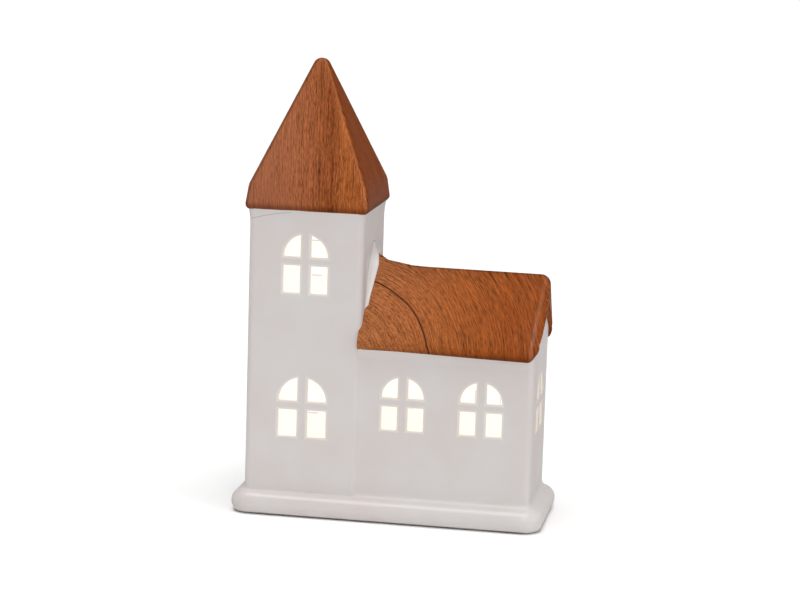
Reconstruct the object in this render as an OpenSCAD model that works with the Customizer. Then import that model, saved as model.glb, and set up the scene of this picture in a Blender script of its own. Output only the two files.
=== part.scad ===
// Glazed ceramic village church with a battery light module in its base.
// X runs from the tower to the nave gable, Y from the front to the back, Z up.
// The origin is the middle of the footprint, on the surface the pads rest on.

/* [House] */
// Height from the surface to the tip of the spire
house_h = 220; // [205:1:240]
// Width of the tower along X
tower_w = 55.8; // [53:0.2:64]
// Depth of the tower along Y
tower_d = 55.6; // [54:0.2:62]
// Length of the nave, from the tower to the gable
nave_l = 83.7; // [76:0.1:100]
// Depth of the nave along Y
nave_d = 53.4; // [51:0.2:60]
// Thickness of the cast wall
wall_t = 3.5; // [3:0.1:4]
// Thickness of the cast floor
floor_t = 3.4; // [3:0.1:4.5]
// Rounding of the upright outer corners
corner_r = 3; // [2:0.5:4]

/* [Base rim] */
// How far the rim stands out from the walls
rim_reach = 6.7; // [6:0.1:9]
// Radius of the bulging rim
rim_r = 6.1; // [5.5:0.1:7]
// Height of that bulge's centre over the foot, where the rim is cut flat
rim_rise = 4.1; // [3.8:0.1:5]
// Radius of the hollow fillet between rim and wall
rim_fillet_r = 3.5; // [3:0.5:6]
// Width of the foot ring under the walls
foot_w = 5; // [4:0.5:6]
// Depth of the recess inside the foot ring
recess_h = 3.4; // [3:0.1:4]

/* [Tower roof] */
// Height of the lower edge of the spire
spire_eave_z = 148.6; // [140:0.2:156]
// Overhang of the spire past the tower walls
spire_over = 2.1; // [1.6:0.1:3.5]
// Radius of the lower edge of the spire
spire_lip_r = 2.6; // [2.2:0.1:3.2]
// Radius of the soft shoulder above that edge
spire_shoulder_r = 5; // [4.4:0.1:6]
// How far the shoulder stands in from the lower edge
spire_shoulder_in = 0.7; // [0:0.1:1.5]
// Height of the shoulder's centre over the lower edge
spire_shoulder_h = 10.3; // [8:0.1:12]
// Radius of the tip
spire_tip_r = 4.5; // [4.2:0.05:5.5]

/* [Nave roof] */
// Height of the lower edge of the nave roof
nave_eave_z = 82.5; // [78:0.5:88]
// Height of the ridge
ridge_z = 121.3; // [116:0.1:128]
// How much lower the ridge ends over the gable
ridge_drop = 0.4; // [0:0.1:2]
// How much higher the eaves run at the tower
eave_lift = 1.3; // [0:0.1:2]
// Overhang past the front and back walls
eave_over = 4; // [3:0.1:5.5]
// Overhang past the gable wall
verge_over = 3.2; // [2:0.05:4]
// How far the verge draws in at the eaves
verge_draw = 3.3; // [1:0.1:4]
// Radius of the eave edges
eave_lip_r = 3.6; // [3.2:0.1:4]
// Radius of the ridge
ridge_r = 4.84; // [4.3:0.02:6]
// Height of the bare gable's peak under the roof
gable_top_z = 107.5; // [103:0.5:109]
// Height where the bare gable meets the eaves
gable_foot_z = 90; // [88:0.5:91]
// How far the roof laps over the tower's corner
tower_lap = 1.3; // [0.8:0.1:2.5]
// Length of the hollow sweep of the ridge up to the tower
sweep_l = 19; // [14:1:24]
// Rise of that sweep at the tower
sweep_h = 5.6; // [4:0.1:9]

/* [Roof film] */
// Thickness of the wood grain film
film_t = 0.3; // [0.2:0.05:0.4]
// How far the nave's film stops from the tower at the ridge
film_stop = 3.7; // [1:0.1:5]

/* [Windows] */
// Width of the upper tower window
upper_win_w = 21.8; // [18:0.2:26]
// Sill height of the upper tower window
upper_win_z = 109.3; // [100:0.1:116]
// Width of the lower tower window
lower_win_w = 23.7; // [18:0.1:28]
// Sill height of the lower tower window
lower_win_z = 39; // [32:0.5:48]
// Height of the square panes of the tower windows
tower_pane_h = 13.4; // [10:0.2:16]
// Width of the nave windows
nave_win_w = 20.6; // [16:0.2:24]
// Sill height of the nave windows
nave_win_z = 45.2; // [36:0.2:50]
// Height of the square panes of the nave windows
nave_pane_h = 11.6; // [9:0.2:13]
// Distance from the tower to the first nave window's centre
nave_win_inset = 20.9; // [16:0.1:26]
// Distance between the centres of the nave windows
nave_win_pitch = 38; // [32:0.5:44]
// Width of the gable window
gable_win_w = 23; // [16:0.5:26]
// Width of the upright glazing bars
bar_w = 4.9; // [3.5:0.1:6]
// Height of the level glazing bars
bar_h = 4.1; // [3:0.1:5]
// Rounding of the square panes
pane_r = 0.8; // [0.4:0.1:1.5]

/* [Light module] */
// Place of the module's centre along X
module_x = -3; // [-8:0.5:4]
// Diameter of a battery cell
cell_d = 10.5; // [10.2:0.1:10.5]
// Length of a battery cell with its button
cell_l = 44.5; // [43.5:0.1:45.5]
// Wall thickness of the plastic case
shell_t = 1.6; // [1.3:0.1:2]
// Thickness of the case's flange
flange_t = 2; // [1.8:0.1:2.4]
// Width of the flange at the ends of the case
flange_w = 5; // [4.5:0.1:5.4]
// Room for glue between the flange's sides and the foot ring
glue_room = 3.9; // [3:0.1:4.5]
// Thickness of the battery door
door_t = 1.6; // [1.3:0.1:1.8]
// Length of the switch bay
switch_bay_l = 15; // [13:0.5:18]
// Travel of the slide switch
switch_travel = 2; // [1.5:0.1:2.5]
// Diameter of a lamp's dome
led_d = 5; // [4.8:0.1:5.4]
// Height of a lamp
led_h = 8.6; // [7:0.2:10]
// Distance between the two lamps
led_pitch = 48; // [40:1:49]

/* [Pads] */
// Thickness of the foot pads
pad_t = 1; // [0.8:0.1:1.5]
// Radius of the foot pads
pad_r = 3.4; // [2.5:0.1:3.5]

/* [Hidden] */
$fn = 48;

// Facets of the spheres inside the hulled roofs
hull_fn = 24;
// Overrun of every cut
over = 1;
// Gap of a piece that drops into its seat
seat_gap = 0.3;
// Gap of a piece that slides
slide_gap = 0.15;
// Gap of a piece pushed home
close_gap = 0.05;
// Radial gap of a turning pin
pin_gap = 0.06;

// Footprint of the walls
walls_l = tower_w + nave_l;
tower_x = -walls_l / 2 + tower_w / 2;
tower_face_x = -walls_l / 2 + tower_w;
gable_x = walls_l / 2;

// Levels of the base
foot_z = pad_t;
recess_z = foot_z + recess_h;
floor_z = recess_z + floor_t;
inner_r = corner_r / 2;

// Section of the rim, measured out from the wall
rim_centre_u = rim_reach - rim_r;
rim_centre_z = foot_z + rim_rise;
fillet_z = rim_centre_z + sqrt(pow(rim_fillet_r + rim_r, 2) - pow(rim_fillet_r - rim_centre_u, 2));
fillet_share = rim_r / (rim_r + rim_fillet_r);
touch_u = rim_centre_u + (rim_fillet_r - rim_centre_u) * fillet_share;
touch_z = rim_centre_z + (fillet_z - rim_centre_z) * fillet_share;

// Flares of the walls under the eaves, as shares of the overhang and the lip
flare_reach_share = 0.6;
flare_top_share = 0.7;
spire_flare_h = 9;
eave_flare_h = 7;

// Sweep of the ridge: the place of its bend, and its rise at the start, the bend and the end
sweep_place_share = 0.29;
sweep_rise_shares = [0, 0.27, 1];

// Bend of the verge near its foot: its way up the slope, and its share of the draw at the eaves
verge_share = 0.13;
verge_bend_share = 0.27;

// Edge of the nave's film along the tower: shares of the nave's half depth and of the stop
film_edge_shares = [[-0.78, 0], [-0.72, 0.42], [0, 1], [0.72, 0.42], [0.78, 0]];

// Levels and lengths of the light module
flange_z = recess_z - flange_t;
cell_r = cell_d / 2;
cell_gap = 0.4;
cell_pitch = cell_d + cell_gap;
cell_z = flange_z + door_t + seat_gap + cell_r;
spring_l = 4.65;
contact_t = 0.4;
bay_l = cell_l + spring_l + 2 * contact_t + 4 * close_gap;
bay_w = 2 * cell_d + 3 * cell_gap + 2 * close_gap;
ceiling_z = cell_z + cell_r + seat_gap;
ceiling_t = 1.4;
board_gap = 2.6;
board_z = ceiling_z + ceiling_t + board_gap;
board_t = 1.2;
parts_h = 2.3;
case_top_z = board_z + board_t + parts_h;
cap_t = 1.4;
case_l = bay_l + switch_bay_l + 3 * shell_t;
case_w = bay_w + 2 * shell_t;
case_r = 2;
switch_shift = 1.4;
bay_x0 = module_x - case_l / 2 + shell_t;
bay_x1 = bay_x0 + bay_l;
switch_x0 = bay_x1 + shell_t;
switch_x = switch_x0 + switch_bay_l / 2 + switch_shift;
flange_l = case_l + 2 * flange_w;
flange_d = nave_d - 2 * foot_w - 2 * glue_room;

// Battery door, its pins and its latch tongue
barrel_r = flange_t / 2;
barrel_x = bay_x0 - shell_t - flange_w / 2;
barrel_z = flange_z + barrel_r;
door_w = bay_w - 2 * seat_gap;
latch_reach = 2.4;
door_x1 = switch_x0 + latch_reach;
pin_r = 0.6;
pin_l = 1.6;
latch_t = 1;
latch_w = 6;
latch_h = 4;
grip_r = 3.4;
grip_half_w = 1.9;
grip_h = 0.7;

// Cells
button_r = 1.9;
button_h = 0.9;
sleeve_t = 0.15;
cap_ring_t = 0.5;

// Contact plates and springs
contact_w = 8.4;
contact_z0 = flange_z + flange_t + seat_gap;
contact_h = 9.6;
tab_w = 1.6;
tab_over = 0.8;
rail_w = 0.8;
rail_d = 1.2;
coil_wire_r = 0.3;
coil_r0 = 3.5;
coil_r1 = 2.2;
coil_turns = 3.5;
coil_steps = 8;
coil_sides = 6;

// Board and what it carries
board_side_gap = 0.9;
board_w = bay_w - 2 * board_side_gap;
post_r = 1.4;
peg_r = 0.6;
post_inset = 2.2;
resistor_l = 4.4;
resistor_r = 0.95;
resistor_waist_share = 0.85;
resistor_end_share = 0.25;
resistor_x = module_x - 4;
resistor_y = 5;
lead_r = 0.25;
lead_drop = 1.4;
lead_reach = 1.8;
led_rim_out = 0.4;
led_rim_r = led_d / 2 + led_rim_out;
led_rim_h = 1;
led_stand = 0.5;
led_lead_pitch = 2.54;
led_z = board_z + board_t + led_stand;
led_places = [module_x - led_pitch / 2, module_x + led_pitch / 2];
collar_t = 1.15;
collar_r = led_d / 2 + slide_gap + collar_t;
collar_h = 2.6;
solder_r = 0.75;
solder_h = 0.5;

// Screws of the cap and their bosses
boss_r = 2.3;
boss_sink = 0.5;
screw_r = 0.98;
screw_bore_r = 1;
screw_head_r = 1.9;
screw_head_h = 1.3;
screw_l = 6.4;
recess_w = 0.5;
recess_l = 2.2;
recess_d = 0.7;
boss_inset = shell_t + boss_r - boss_sink;
screw_xs = [module_x - case_l / 2 + boss_inset, module_x + case_l / 2 - boss_inset];
screw_y = case_w / 2 - boss_inset;

// The board stops short of the bosses
board_end_gap = 0.6;
board_l = case_l - 2 * (boss_inset + boss_r + board_end_gap);

// Slide switch
switch_l = 8.6;
switch_w = 4.4;
switch_h = 4.4;
switch_y = -5.5;
can_t = 0.4;
knob_w = 1.8;
slot_half = (knob_w + switch_travel) / 2 + seat_gap;
knob_flange_l = 4.2;
knob_flange_h = 0.9;
knob_reach = 1;
switch_pin_pitch = 2.5;
switch_pin_w = 0.7;
switch_pin_t = 0.4;
switch_pin_l = 2.2;
wire_r = 0.55;
rib_t = 1.2;
hook_t = 0.5;

// Glue dabs and pads
dab_r = 2.5;
dab_sink = 0.4;
dab_inset = 12;
pad_inset = 1.1;

function arc_radius(reach, rise) = (pow(rise, 2) + pow(reach, 2)) / (2 * reach);

// Rectangle with true round corners, centred
module round_rect(w, d, r) {
    square([w - 2 * r, d], center = true);
    square([w, d - 2 * r], center = true);
    for (sx = [-1, 1], sy = [-1, 1]) {
        translate([sx * (w / 2 - r), sy * (d / 2 - r)]) circle(r);
    }
}

// Upright block on a rounded rectangle
module block(w, d, r, z0, z1) {
    translate([0, 0, z0]) linear_extrude(z1 - z0) round_rect(w, d, r);
}

// Section drawn outward from the wall, carried once round a rounded rectangle
module carry_round(w, d, r) {
    for (k = [0:3]) {
        run = (k % 2 == 0) ? w : d;
        away = (k % 2 == 0) ? d : w;
        rotate([0, 0, 90 * k]) {
            translate([r - run / 2, away / 2, 0]) rotate([90, 0, 90]) {
                linear_extrude(run - 2 * r) children();
            }
            translate([run / 2 - r, away / 2 - r, 0]) {
                rotate_extrude(angle = 90) translate([r, 0]) children();
            }
        }
    }
}

// Section of the bulging rim, flat at its foot, and the fillet that runs up into the wall
module rim_section() {
    intersection() {
        translate([rim_centre_u, rim_centre_z]) circle(rim_r);
        translate([-inner_r, foot_z]) square([inner_r + rim_reach, rim_rise + rim_r]);
    }
    difference() {
        polygon([[-inner_r, rim_centre_z], [-inner_r, fillet_z], [0, fillet_z],
            [touch_u, touch_z], [rim_centre_u, rim_centre_z]]);
        translate([rim_fillet_r, fillet_z]) circle(rim_fillet_r);
    }
}

// Section of the hollow flare that carries a wall out to the roof's edge
module flare_section(reach, rise, top_z) {
    difference() {
        translate([-inner_r, top_z - rise]) square([inner_r + reach, rise]);
        translate([arc_radius(reach, rise), top_z - rise]) circle(arc_radius(reach, rise));
    }
}

// Spire with a soft lower edge, drawn inward by inset
module spire(inset) {
    half_w = tower_w / 2 + spire_over - spire_lip_r;
    half_d = tower_d / 2 + spire_over - spire_lip_r;
    translate([tower_x, 0, 0]) hull() {
        for (sx = [-1, 1], sy = [-1, 1]) {
            translate([sx * half_w, sy * half_d, spire_eave_z + spire_lip_r])
                sphere(max(spire_lip_r - inset, film_t), $fn = hull_fn);
        }
        spire_core(inset);
    }
}

// Shoulders and tip of the spire, drawn inward by inset
module spire_core(inset) {
    half_w = tower_w / 2 + spire_over - spire_shoulder_in - spire_shoulder_r;
    half_d = tower_d / 2 + spire_over - spire_shoulder_in - spire_shoulder_r;
    for (sx = [-1, 1], sy = [-1, 1]) {
        translate([sx * half_w, sy * half_d, spire_eave_z + spire_shoulder_h])
            sphere(spire_shoulder_r - inset, $fn = hull_fn);
    }
    translate([0, 0, house_h - spire_tip_r]) sphere(spire_tip_r - inset, $fn = hull_fn);
}

// Hollow of the spire, one wall inside the glazed face
module spire_hollow() {
    translate([tower_x, 0, 0]) hull() spire_core(film_t + wall_t);
}

// One cross section of the nave roof, as three balls to hull
module roof_balls(x, inset, rise) {
    eave_y = nave_d / 2 + eave_over - eave_lip_r;
    translate([x, 0, ridge_z - ridge_r + rise]) sphere(ridge_r - inset, $fn = hull_fn);
    for (sy = [-1, 1]) {
        translate([x, sy * eave_y, nave_eave_z + eave_lip_r + eave_lift])
            sphere(eave_lip_r - inset, $fn = hull_fn);
    }
}

// Balls of the verge, which draws in at the eaves
module verge_balls(inset) {
    eave_y = nave_d / 2 + eave_over - eave_lip_r;
    eave_z = nave_eave_z + eave_lip_r;
    top_z = ridge_z - ridge_r - ridge_drop;
    reach_x = gable_x + verge_over;
    bend_r = eave_lip_r + (ridge_r - eave_lip_r) * verge_share;
    bend_x = reach_x - verge_draw * verge_bend_share - bend_r;
    bend_z = eave_z + (top_z - eave_z) * verge_share;
    translate([reach_x - ridge_r, 0, top_z]) sphere(ridge_r - inset, $fn = hull_fn);
    for (sy = [-1, 1]) {
        translate([bend_x, sy * eave_y * (1 - verge_share), bend_z]) sphere(bend_r - inset, $fn = hull_fn);
        translate([reach_x - verge_draw - eave_lip_r, sy * eave_y, eave_z])
            sphere(eave_lip_r - inset, $fn = hull_fn);
    }
}

// Nave roof with its hollow sweep up to the tower, drawn inward by inset
module nave_roof(inset) {
    xs = [tower_face_x + sweep_l, tower_face_x + sweep_l * sweep_place_share, tower_face_x - tower_lap];
    hull() {
        roof_balls(xs[0], inset, 0);
        verge_balls(inset);
    }
    for (i = [0, 1]) {
        hull() {
            for (j = [i, i + 1]) {
                roof_balls(xs[j], inset, sweep_h * sweep_rise_shares[j]);
            }
        }
    }
}

// Room of the nave roof, from its clean cut over the tower's corner to past the verge
module nave_roof_span() {
    end_x = gable_x + verge_over + over;
    span(tower_face_x - tower_lap, end_x, -nave_d, nave_d, nave_eave_z - over, house_h);
}

// Room along the tower that the nave's film leaves bare
module film_edge() {
    left_x = tower_face_x - tower_lap - over;
    half = nave_d / 2;
    reach = film_edge_shares[4][0] * half;
    edge = [for (e = film_edge_shares) [tower_face_x + film_stop * e[1], e[0] * half]];
    translate([0, 0, nave_eave_z]) linear_extrude(house_h - nave_eave_z) {
        polygon(concat([[left_x, -reach]], edge, [[left_x, reach]]));
    }
}

// Hollow of the nave roof, open to the tower
module nave_roof_hollow() {
    hollow_r = eave_lip_r - film_t;
    y = nave_d / 2 - wall_t - hollow_r;
    top = ridge_z - wall_t - film_t - ridge_r;
    hull() {
        for (x = [tower_face_x - wall_t - hollow_r, gable_x - wall_t - hollow_r]) {
            translate([x, 0, top]) sphere(hollow_r, $fn = hull_fn);
            for (sy = [-1, 1]) {
                translate([x, sy * y, nave_eave_z]) sphere(hollow_r, $fn = hull_fn);
            }
        }
    }
}

// Space under the verge, where the bare gable stands back from the roof's end
module gable_recess() {
    half = nave_d / 2;
    edge = half + eave_over;
    slope = (gable_top_z - gable_foot_z) / half;
    translate([gable_x, 0, 0]) rotate([90, 0, 90]) linear_extrude(verge_over + over) {
        polygon([[0, gable_top_z], [edge, gable_top_z - slope * edge], [edge, nave_eave_z - over],
            [-edge, nave_eave_z - over], [-edge, gable_top_z - slope * edge]]);
    }
}

// Outline of a window: two square panes under two quarter arches
module window_outline(w, sill, pane_h, bar) {
    arch_r = w / 2;
    pane_w = (w - bar) / 2;
    for (sx = [-1, 1]) {
        translate([sx * (bar + pane_w) / 2, sill + pane_h / 2]) round_rect(pane_w, pane_h, pane_r);
    }
    translate([0, sill + pane_h + bar_h]) difference() {
        circle(arch_r);
        translate([-w, -2 * w]) square([2 * w, 2 * w]);
        square([bar, 2 * w], center = true);
    }
}

// Window cut straight through the front and the back wall
module through_window(x, w, sill, pane_h) {
    depth = max(tower_d, nave_d) + 2 * over;
    translate([x, depth / 2, 0]) rotate([90, 0, 0]) linear_extrude(depth) {
        window_outline(w, sill, pane_h, bar_w);
    }
}

// Outer body of the tower walls, flared out under the spire
module tower_walls() {
    translate([tower_x, 0, 0]) {
        block(tower_w, tower_d, corner_r, foot_z, spire_eave_z + spire_lip_r);
        carry_round(tower_w, tower_d, corner_r) {
            flare_section(spire_over * flare_reach_share, spire_flare_h,
                spire_eave_z + spire_lip_r * flare_top_share);
        }
    }
}

// Outer body of the nave walls, running into the tower and flared out under the roof
module nave_walls() {
    body_l = nave_l + tower_w / 2;
    reach = eave_over * flare_reach_share;
    top_z = nave_eave_z + eave_lip_r * flare_top_share;
    translate([gable_x - body_l / 2, 0, 0]) {
        block(body_l, nave_d, corner_r, foot_z, nave_eave_z + eave_lip_r);
    }
    intersection() {
        translate([gable_x - body_l / 2, 0, 0]) {
            carry_round(body_l, nave_d, corner_r) flare_section(reach, eave_flare_h, top_z);
        }
        span(tower_face_x - corner_r / 2, gable_x - corner_r / 4, -nave_d, nave_d,
            top_z - eave_flare_h - over, top_z + over);
    }
}

// Glazed shell: walls, rim, roofs, hollows, windows and the opening for the module
module ceramic_house() color([0.93, 0.91, 0.89]) {
    difference() {
        union() {
            tower_walls();
            nave_walls();
            carry_round(walls_l, nave_d, corner_r) rim_section();
            spire(film_t);
            difference() {
                intersection() {
                    nave_roof(film_t);
                    nave_roof_span();
                }
                gable_recess();
            }
            nave_gable();
        }
        translate([tower_x, 0, 0]) {
            block(tower_w - 2 * wall_t, tower_d - 2 * wall_t, inner_r,
                floor_z, spire_eave_z + spire_shoulder_h);
        }
        translate([gable_x - wall_t - (nave_l + wall_t) / 2, 0, 0]) {
            block(nave_l + wall_t, nave_d - 2 * wall_t, inner_r, floor_z, nave_eave_z);
        }
        spire_hollow();
        nave_roof_hollow();
        through_window(tower_x, upper_win_w, upper_win_z, tower_pane_h);
        through_window(tower_x, lower_win_w, lower_win_z, tower_pane_h);
        for (i = [0, 1]) {
            through_window(tower_face_x + nave_win_inset + i * nave_win_pitch,
                nave_win_w, nave_win_z, nave_pane_h);
        }
        translate([gable_x - 2 * wall_t, 0, 0]) rotate([90, 0, 90]) linear_extrude(3 * wall_t) {
            window_outline(gable_win_w, nave_win_z, nave_pane_h, bar_w);
        }
        block(walls_l - 2 * foot_w, nave_d - 2 * foot_w, corner_r, foot_z - over, recess_z);
        translate([module_x, 0, 0]) {
            block(case_l + 2 * seat_gap, case_w + 2 * seat_gap, case_r, recess_z - over, floor_z + over);
        }
    }
}

// Upright gable wall that closes the nave under the roof
module nave_gable() {
    half = nave_d / 2 - corner_r;
    translate([gable_x - 2 * wall_t, 0, 0]) rotate([90, 0, 90]) linear_extrude(2 * wall_t) {
        polygon([[-half, nave_eave_z], [half, nave_eave_z], [half, gable_foot_z], [0, gable_top_z],
            [-half, gable_foot_z]]);
    }
}

// Wood grain film over the spire
module tower_roof_film() color([0.63, 0.36, 0.2]) {
    difference() {
        spire(0);
        spire(film_t);
        tower_walls();
    }
}

// Wood grain film over the nave roof and its verge
module nave_roof_film() color([0.63, 0.36, 0.2]) {
    difference() {
        intersection() {
            nave_roof(0);
            nave_roof_span();
        }
        nave_roof(film_t);
        gable_recess();
        film_edge();
        tower_walls();
        nave_walls();
    }
}

// Soft pads under the corners of the foot ring
module foot_pads() color([0.85, 0.85, 0.83]) {
    for (sx = [-1, 1], sy = [-1, 1]) {
        translate([sx * (walls_l / 2 - pad_inset), sy * (nave_d / 2 - pad_inset), 0])
            cylinder(h = pad_t, r = pad_r);
    }
}

// Dabs of glue that hold the flange to the underside of the floor
module glue_dabs() color([0.93, 0.92, 0.85]) {
    difference() {
        for (sx = [-1, 1], sy = [-1, 1]) {
            translate([module_x + sx * (flange_l / 2 - dab_inset), sy * flange_d / 2, recess_z - dab_sink])
                sphere(dab_r);
        }
        translate([module_x, 0, 0]) {
            block(flange_l, flange_d, case_r + flange_w / 2, flange_z - over, recess_z);
        }
        translate([-walls_l / 2, -nave_d / 2, recess_z]) cube([walls_l, nave_d, dab_r + over]);
    }
}

// Box from its lowest corner to its highest
module span(x0, x1, y0, y1, z0, z1) {
    translate([x0, y0, z0]) cube([x1 - x0, y1 - y0, z1 - z0]);
}

// Case: flange, battery bay, switch bay and the tray for the board
module module_case() color([0.9, 0.89, 0.86]) {
    difference() {
        union() {
            translate([module_x, 0, 0]) {
                block(flange_l, flange_d, case_r + flange_w / 2, flange_z, recess_z);
                difference() {
                    block(case_l, case_w, case_r, flange_z, case_top_z);
                    block(case_l - 2 * shell_t, case_w - 2 * shell_t, shell_t / 2,
                        ceiling_z + ceiling_t, case_top_z + over);
                }
            }
            for (x = screw_xs, sy = [-1, 1]) {
                translate([x, sy * screw_y, ceiling_z]) cylinder(h = case_top_z - ceiling_z, r = boss_r);
            }
            for (sy = [-1, 1]) {
                board_post(module_x - board_l / 2 + post_inset, sy);
                board_post(bay_x1 - post_inset, sy);
            }
        }
        span(bay_x0, bay_x1, -bay_w / 2, bay_w / 2, flange_z - over, ceiling_z);
        span(barrel_x - barrel_r - seat_gap, door_x1 + seat_gap, -bay_w / 2, bay_w / 2,
            flange_z - over, recess_z);
        difference() {
            span(switch_x0, switch_x0 + switch_bay_l, -bay_w / 2, bay_w / 2,
                recess_z, ceiling_z + ceiling_t + over);
            for (x = screw_xs, sy = [-1, 1]) {
                translate([x, sy * screw_y, ceiling_z]) cylinder(h = case_top_z - ceiling_z, r = boss_r);
            }
        }
        span(switch_x - slot_half, switch_x + slot_half,
            switch_y - knob_w / 2 - seat_gap, switch_y + knob_w / 2 + seat_gap,
            flange_z - over, recess_z + over);
        for (x = screw_xs, sy = [-1, 1]) {
            translate([x, sy * screw_y, case_top_z - screw_l]) {
                cylinder(h = screw_l + over, r = screw_bore_r);
            }
        }
        translate([barrel_x, bay_w / 2 + pin_l, barrel_z]) rotate([90, 0, 0]) {
            cylinder(h = bay_w + 2 * pin_l, r = pin_r + pin_gap);
        }
        for (sy = [-1, 1]) {
            span(bay_x1 - contact_t - 2 * slide_gap, bay_x1, sy * cell_pitch / 2 - tab_w / 2 - slide_gap,
                sy * cell_pitch / 2 + tab_w / 2 + slide_gap, ceiling_z - over, ceiling_z + ceiling_t + over);
        }
    }
    contact_rails();
    switch_ribs();
}

// Post that carries the board, with a peg through it
module board_post(x, sy) {
    translate([x, sy * (board_w / 2 - post_inset), ceiling_z]) {
        cylinder(h = board_z - ceiling_z, r = post_r);
        cylinder(h = board_z + board_t - ceiling_z, r = peg_r);
    }
}

// Rails that hold the contact plates sideways at both ends of the bay
module contact_rails() {
    for (sy = [-1, 1]) {
        rail_y = sy * (cell_pitch / 2 - contact_w / 2 - slide_gap - rail_w / 2);
        span(bay_x1 - rail_d, bay_x1, rail_y - rail_w / 2, rail_y + rail_w / 2, contact_z0, ceiling_z);
    }
    for (sy = [-1, 1]) {
        rail_y = sy * (cell_pitch / 2 + contact_w / 2 + slide_gap + rail_w / 2);
        span(bay_x0, bay_x0 + rail_d, rail_y - rail_w / 2, rail_y + rail_w / 2, contact_z0, ceiling_z);
        span(bay_x1 - rail_d, bay_x1, rail_y - rail_w / 2, rail_y + rail_w / 2, contact_z0, ceiling_z);
    }
}

// Ribs on the switch bay's floor that clip over the ends of the switch
module switch_ribs() {
    for (sx = [-1, 1]) {
        inner_x = switch_x + sx * (switch_l / 2 + close_gap);
        outer_x = inner_x + sx * rib_t;
        hook_x = inner_x - sx * hook_t;
        span(min(inner_x, outer_x), max(inner_x, outer_x), switch_y - switch_w / 2, switch_y + switch_w / 2,
            recess_z, recess_z + switch_h + close_gap + hook_t);
        span(min(hook_x, outer_x), max(hook_x, outer_x), switch_y - switch_w / 2, switch_y + switch_w / 2,
            recess_z + switch_h + close_gap, recess_z + switch_h + close_gap + hook_t);
    }
}

// Cap with a collar round each lamp
module module_cap() color([0.92, 0.91, 0.88]) {
    difference() {
        union() {
            translate([module_x, 0, 0]) block(case_l, case_w, case_r, case_top_z, case_top_z + cap_t);
            for (x = led_places) {
                translate([x, 0, case_top_z]) cylinder(h = cap_t + collar_h, r = collar_r);
            }
        }
        for (x = led_places) {
            translate([x, 0, case_top_z - over]) {
                cylinder(h = cap_t + collar_h + 2 * over, r = led_d / 2 + slide_gap);
            }
        }
        for (x = screw_xs, sy = [-1, 1]) {
            translate([x, sy * screw_y, case_top_z - over]) {
                cylinder(h = cap_t + 2 * over, r = screw_bore_r + slide_gap);
            }
        }
    }
}

// Four small screws with crossed recesses
module cap_screws() color([0.72, 0.72, 0.74]) {
    for (x = screw_xs, sy = [-1, 1]) {
        translate([x, sy * screw_y, case_top_z + cap_t]) difference() {
            union() {
                translate([0, 0, -cap_t - screw_l + close_gap]) {
                    cylinder(h = cap_t + screw_l, r = screw_r);
                }
                cylinder(h = screw_head_h, r = screw_head_r);
            }
            for (a = [0, 90]) {
                rotate([0, 0, a]) translate([-recess_l / 2, -recess_w / 2, screw_head_h - recess_d]) {
                    cube([recess_l, recess_w, recess_d + over]);
                }
            }
        }
    }
}

// Hinged battery door with its barrel, pins, latch tongue and thumb hollow
module battery_door() color([0.9, 0.89, 0.86]) {
    latch_x = door_x1 - latch_t - seat_gap;
    difference() {
        union() {
            span(barrel_x, door_x1, -door_w / 2, door_w / 2, flange_z, flange_z + door_t);
            span(latch_x, latch_x + latch_t, -latch_w / 2, latch_w / 2,
                flange_z, flange_z + door_t + latch_h);
            translate([barrel_x, door_w / 2, barrel_z]) rotate([90, 0, 0]) {
                cylinder(h = door_w, r = barrel_r);
            }
            translate([barrel_x, bay_w / 2 + pin_l - slide_gap, barrel_z]) rotate([90, 0, 0]) {
                cylinder(h = bay_w + 2 * pin_l - 2 * slide_gap, r = pin_r);
            }
        }
        for (sy = [-1, 1]) {
            slit = [sy * latch_w / 2, sy * (latch_w / 2 + latch_t)];
            span(latch_x - 2 * latch_h, door_x1 + over, min(slit), max(slit),
                flange_z - over, flange_z + door_t + over);
        }
        translate([latch_x - grip_r, 0, flange_z]) {
            scale([1, grip_half_w / grip_r, grip_h / grip_r]) sphere(grip_r);
        }
    }
}

// Direction of each cell's button, and the place of its end plate
module place_cells() {
    for (s = [-1, 1]) {
        end_x = (s < 0) ? bay_x1 - contact_t - 2 * close_gap : bay_x0 + contact_t + 2 * close_gap;
        translate([end_x, s * cell_pitch / 2, cell_z]) rotate([0, 90 * s, 0]) children();
    }
}

// Steel cans of the cells
module cell_cans() color([0.75, 0.75, 0.77]) {
    place_cells() translate([0, 0, button_h + cap_ring_t]) {
        cylinder(h = cell_l - button_h - cap_ring_t, r = cell_r - sleeve_t);
    }
}

// Positive ends of the cells with their buttons
module cell_caps() color([0.82, 0.8, 0.7]) {
    place_cells() {
        cylinder(h = button_h + cap_ring_t, r = button_r);
        translate([0, 0, button_h]) cylinder(h = cap_ring_t, r = cell_r - sleeve_t - cap_ring_t);
    }
}

// Coloured sleeves round the cells
module cell_sleeves() color([0.2, 0.35, 0.3]) {
    place_cells() translate([0, 0, button_h + cap_ring_t]) difference() {
        cylinder(h = cell_l - button_h - 2 * cap_ring_t, r = cell_r);
        translate([0, 0, -over]) cylinder(h = cell_l + over, r = cell_r - sleeve_t);
    }
}

// Plate that joins the two cells at the hinge end
module contact_bridge() color([0.78, 0.78, 0.76]) {
    half = cell_pitch / 2 + contact_w / 2;
    span(bay_x0 + close_gap, bay_x0 + close_gap + contact_t, -half, half,
        contact_z0, contact_z0 + contact_h);
}

// Single plate at the switch end, with a tab up through the board
module end_contact(sy) {
    x1 = bay_x1 - close_gap;
    y = sy * cell_pitch / 2;
    span(x1 - contact_t, x1, y - contact_w / 2, y + contact_w / 2, contact_z0, contact_z0 + contact_h);
    span(x1 - contact_t, x1, y - tab_w / 2, y + tab_w / 2, contact_z0, board_z + board_t + tab_over);
}

module contact_positive() color([0.78, 0.78, 0.76]) end_contact(-1);

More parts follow.
